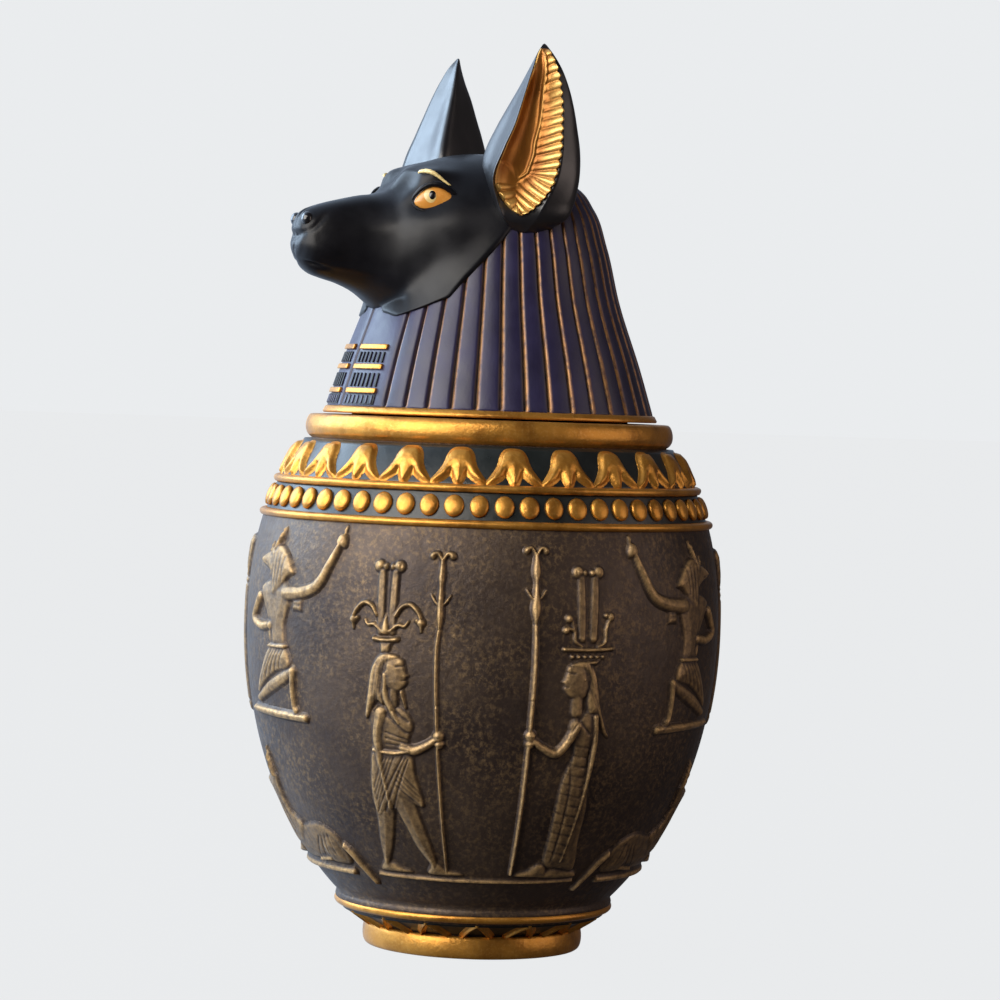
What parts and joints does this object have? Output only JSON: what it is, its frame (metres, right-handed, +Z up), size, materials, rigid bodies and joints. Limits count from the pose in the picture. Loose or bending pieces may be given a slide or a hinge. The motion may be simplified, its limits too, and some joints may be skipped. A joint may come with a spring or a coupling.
{
  "type": "canopic jar",
  "caption": "Egg-shaped canopic jar with carved figures, gold bands and a foot ring, and a lift-off lid shaped as a jackal's head in a striped wig cloth.",
  "frame": {"origin": "centre of the foot's flat underside", "axes": "+Z up along the jar's axis; the jackal looks along -Y; its left ear is on +X"},
  "size_m": [0.1504, 0.1509, 0.2799],
  "materials": {
    "belly_bronze": "dark bronze paint, dry-brushed with gold, satin",
    "band_black": "black-green paint, satin",
    "gold_paint": "gold paint, worn satin gloss",
    "head_black": "black paint, satin gloss",
    "wig_blue": "navy-purple paint with copper-gold lines, satin",
    "eye_paint": "amber and gold paint, glossy"
  },
  "bodies": {
    "root": {"jar": "belly_bronze", "lid": "head_black"}
  },
  "joints": []
}
